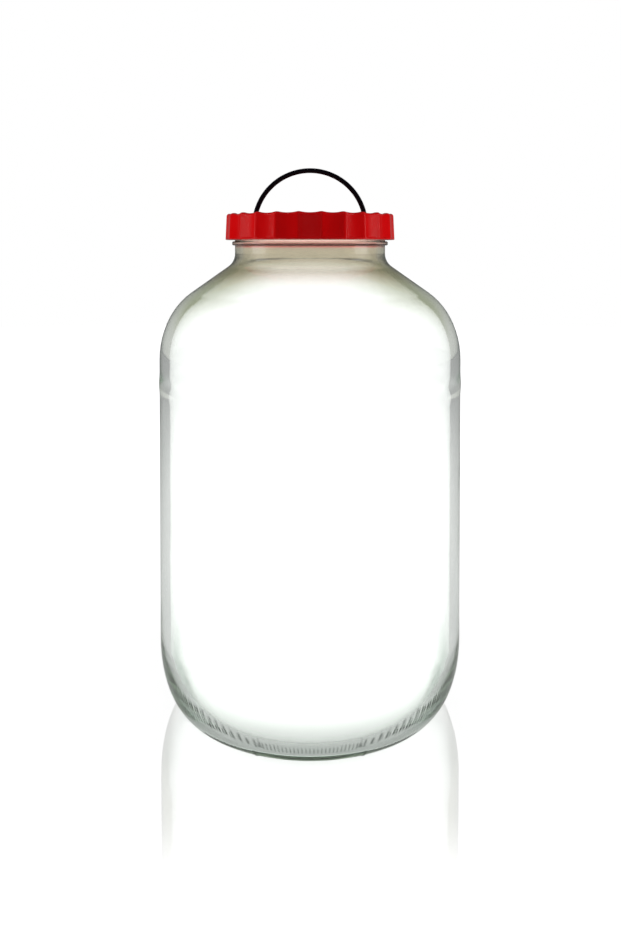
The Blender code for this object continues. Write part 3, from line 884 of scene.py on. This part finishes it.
def studio_floor():
    """A pale floor that shows white to the camera and is a weak mirror near the jar.

    To rays through both walls of the glass it shows a painted pool of light under the jar and a painted
    shadow towards the front of the foot, and to rays that are still within the glass a painted grey shade.
    Each level changes in a smooth step of the distance from the axis, or for the dim part, the painted
    shadow, from a middle behind it.
    """
    mesh = bpy.data.meshes.new("studio_floor")
    ring = turned(FLOOR_RADIUS, -FLOOR_DROP, around(FLOOR_SIDES))
    mesh.from_pydata(ring.tolist(), [], [list(range(FLOOR_SIDES))])
    floor = bpy.data.objects.new("studio_floor", mesh)
    bpy.context.scene.collection.objects.link(floor)
    f = Finish("studio_floor")
    f.tree.nodes.remove(f.shader)
    sums = Sums(f.tree)
    camera_ray, depth = sums.path["Is Camera Ray"], sums.path["Transmission Depth"]
    away, lag = f.distance((0.0, 0.0, 0.0)), f.distance(DIM_MIDDLE)
    # painted shadow towards the front of the jar's foot
    dim = sums.times(sums.ease(lag, *DIM_WAY, *DIM_SHARES), sums.ease(away, *DIM_END_WAY, 1.0, 0.0))
    through = sums.times(sums.ease(away, *UNDER_WAY, *UNDER_LEVELS), sums.do("SUBTRACT", 1.0, dim))
    # painted grey shade for rays within the glass
    within = sums.times(sums.more(depth, ONE_FACE), sums.ease(away, *WITHIN_WAY, *WITHIN_LEVELS))
    fill = sums.pick(sums.more(depth, FOUR_FACES), through, within)
    fill = sums.pick(camera_ray, sums.ease(away, *SEEN_WAY, *SEEN_LEVELS), fill)
    matte = f.node("ShaderNodeBsdfDiffuse")
    matte.inputs["Color"].default_value = (*FLOOR_COLOUR, 1.0)
    glow = f.node("ShaderNodeEmission")
    f.join(sums.times(fill, sums.equals(sums.path["Diffuse Depth"], 0)), glow.inputs["Strength"])
    ground = f.node("ShaderNodeAddShader")
    f.join(matte.outputs[0], ground.inputs[0])
    f.join(glow.outputs[0], ground.inputs[1])
    mirror = f.node("ShaderNodeBsdfGlossy")
    mirror.inputs["Roughness"].default_value = 0.0
    share = sums.times(sums.ease(away, *MIRROR_WAY, *MIRROR_SHARES), camera_ray)
    f.surface(share, ground.outputs[0], mirror.outputs[0])
    mesh.materials.append(f.material)


def studio_world():
    """White to the camera and in the floor's mirror, and what a product studio shows to other rays.

    Scattered light is even, and a little stronger from above. What gloss mirrors is dark in front, lit
    at the sides and pale behind. What is seen through both walls is a full white, and what the thick
    edges of the glass turn aside is pale at the horizon and an olive grey above it.
    """
    world = bpy.data.worlds.new("studio_world")
    bpy.context.scene.world = world
    world.use_nodes = True
    world.cycles.sampling_method = "NONE"
    tree = world.node_tree
    sums = Sums(tree)
    place = tree.nodes.new("ShaderNodeTexCoord")
    axes = tree.nodes.new("ShaderNodeSeparateXYZ")
    tree.links.new(place.outputs["Generated"], axes.inputs[0])
    y, z = axes.outputs[1:]
    depth = sums.path["Transmission Depth"]
    side = sums.times(sums.ease(y, *SIDE_START_WAY), sums.ease(y, *SIDE_END_WAY, SIDE_LEVEL, 0.0))
    back = sums.ease(y, *BACK_WAY, 0.0, BACK_LEVEL)
    low = sums.plus(sums.plus(side, back), FRONT_LEVEL)
    mirrored = sums.pick(sums.ease(z, *CEILING_WAY), CEILING_LEVEL, low)
    mirrored = sums.pick(sums.path["Is Singular Ray"], 1.0, mirrored)
    inside = sums.more(depth, ONE_FACE)
    through = sums.more(depth, FOUR_FACES)
    level = sums.pick(through, THROUGH_LEVEL, sums.pick(inside, 1.0, mirrored))
    room = sums.plus(sums.times(sums.do("MAXIMUM", z, 0.0), ROOM_TOP), ROOM_LEVEL)
    direct = sums.equals(sums.path["Diffuse Depth"], 0)
    level = sums.pick(direct, level, room)
    level = sums.pick(sums.path["Is Camera Ray"], 1.0, level)
    tone = sums.blend(sums.ease(z, *TONE_WAY), WITHIN_HIGH_TONE, WITHIN_TONE)
    edge = sums.times(sums.do("SUBTRACT", inside, through), direct)
    background = tree.nodes["Background"]
    tree.links.new(sums.blend(edge, tone, WHITE), background.inputs["Color"])
    tree.links.new(level, background.inputs["Strength"])


def studio_lamps():
    """Soft panels round the jar: two pairs at the sides, of which one shows in gloss, and one in front."""
    for name, (turn, width, height, power, shown) in PANELS.items():
        lamp = bpy.data.lights.new(name, "AREA")
        lamp.shape = "RECTANGLE"
        lamp.size, lamp.size_y = width, height
        lamp.energy = power
        holder = bpy.data.objects.new(name, lamp)
        turn = math.radians(turn)
        holder.location = (PANEL_DISTANCE * math.sin(turn), -PANEL_DISTANCE * math.cos(turn), PANEL_HEIGHT)
        holder.rotation_euler = (math.radians(90), 0, turn)
        holder.visible_glossy = holder.visible_transmission = shown
        bpy.context.scene.collection.objects.link(holder)


def camera():
    """The photograph's view: the principal point lies above the frame's middle, which is the shift."""
    data = bpy.data.cameras.new("camera")
    data.sensor_width = SENSOR_WIDTH
    data.lens = FOCAL_PIXELS / PHOTO_HEIGHT * SENSOR_WIDTH
    data.shift_x = (PHOTO_WIDTH / 2 - CENTRE_COLUMN) / PHOTO_HEIGHT
    data.shift_y = (CENTRE_ROW - PHOTO_HEIGHT / 2) / PHOTO_HEIGHT
    data.clip_start = 0.01
    holder = bpy.data.objects.new("camera", data)
    holder.location = CAMERA_AT
    holder.rotation_euler = (math.radians(90 - CAMERA_PITCH), 0, 0)
    bpy.context.scene.collection.objects.link(holder)
    bpy.context.scene.camera = holder


build_object()
studio_floor()
studio_world()
studio_lamps()
camera()
bpy.context.scene.view_settings.view_transform = "Standard"
light_paths = bpy.context.scene.cycles
light_paths.max_bounces = light_paths.transmission_bounces = light_paths.glossy_bounces = LIGHT_BOUNCES
